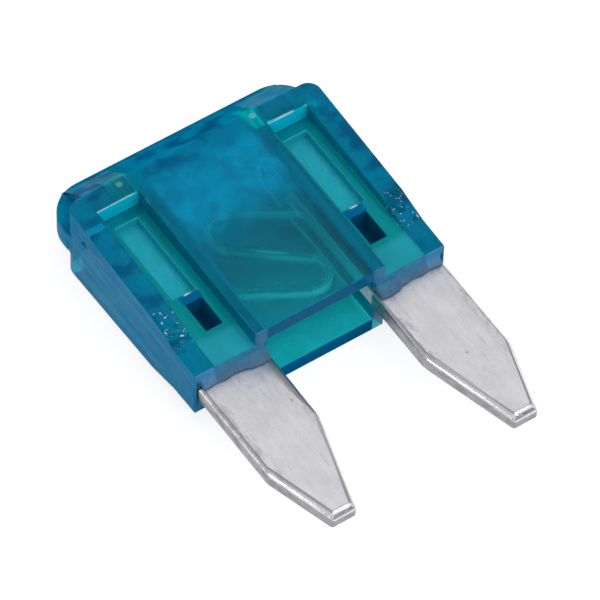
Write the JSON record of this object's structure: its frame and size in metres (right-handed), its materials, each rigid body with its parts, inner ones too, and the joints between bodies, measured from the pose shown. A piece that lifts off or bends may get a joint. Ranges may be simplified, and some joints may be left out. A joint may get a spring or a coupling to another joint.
{
  "type": "automotive blade fuse",
  "caption": "Small plug-in automotive blade fuse: a clear coloured moulded housing over a stamped metal fuse element with flat tapered blades and a thin S-shaped link.",
  "frame": {"origin": "centre of the part's outline from above, on the plane that its back rests on", "axes": "+X across the blades, +Y from the blade tips to the head, +Z out of the front face"},
  "size_m": [0.0104, 0.0164, 0.0033],
  "materials": {
    "clear_blue_plastic": "clear blue moulded plastic, glossy",
    "zinc_sheet": "bare zinc sheet, satin, lightly scratched lengthwise"
  },
  "bodies": {
    "root": {"housing": "clear_blue_plastic", "fuse_element": "zinc_sheet"}
  },
  "joints": []
}
